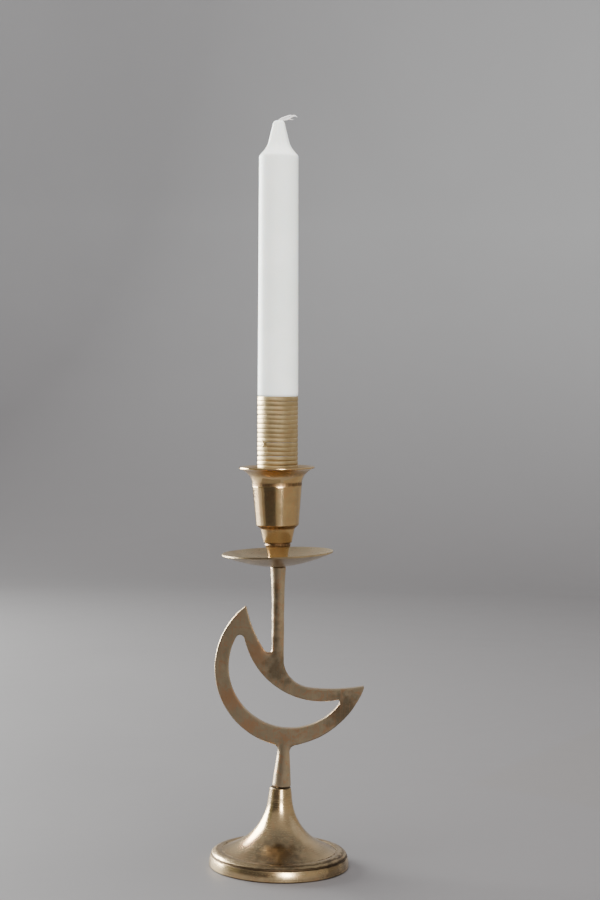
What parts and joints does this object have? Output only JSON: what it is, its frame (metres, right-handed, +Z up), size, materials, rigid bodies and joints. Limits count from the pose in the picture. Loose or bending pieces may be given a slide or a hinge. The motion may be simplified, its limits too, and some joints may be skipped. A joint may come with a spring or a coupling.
{
  "type": "candlestick",
  "caption": "Brass candlestick with a bell foot, an open crescent in its stem, a drip pan and a flared cup that holds a slim candle wound with wire.",
  "frame": {"origin": "on the table, under the middle of the object's box; the foot's own axis stands 3.4 mm towards -X from it", "axes": "+Z is up, the crescent's flat faces look along -Y (front) and +Y (back), and its longer horn points to +X"},
  "size_m": [0.0834, 0.0768, 0.411],
  "materials": {
    "foot_brass": "satin, turned, lightly tarnished",
    "stud_brass": "as machined",
    "stem_brass": "cast and hand filed, satin",
    "pan_brass": "turned, satin",
    "cup_brass": "turned and polished",
    "candle_wax": "smooth wax with a soft sheen",
    "wick_cotton": "waxed braided cotton",
    "gold_wire": "bright drawn wire"
  },
  "bodies": {
    "candlestick": {"foot": "foot_brass", "foot_stud": "stud_brass", "crescent_stem": "stem_brass", "drip_pan": "pan_brass", "cup_stud": "stud_brass", "candle_cup": "cup_brass"},
    "candle": {"candle": "candle_wax", "wick": "wick_cotton", "wire_wrap": "gold_wire"}
  },
  "joints": [
    {"name": "candle_lift", "type": "slide", "parent": "candlestick", "child": "candle", "axis": [-0.0166, 0, 0.9999], "range_m": [0, 0.06]}
  ]
}
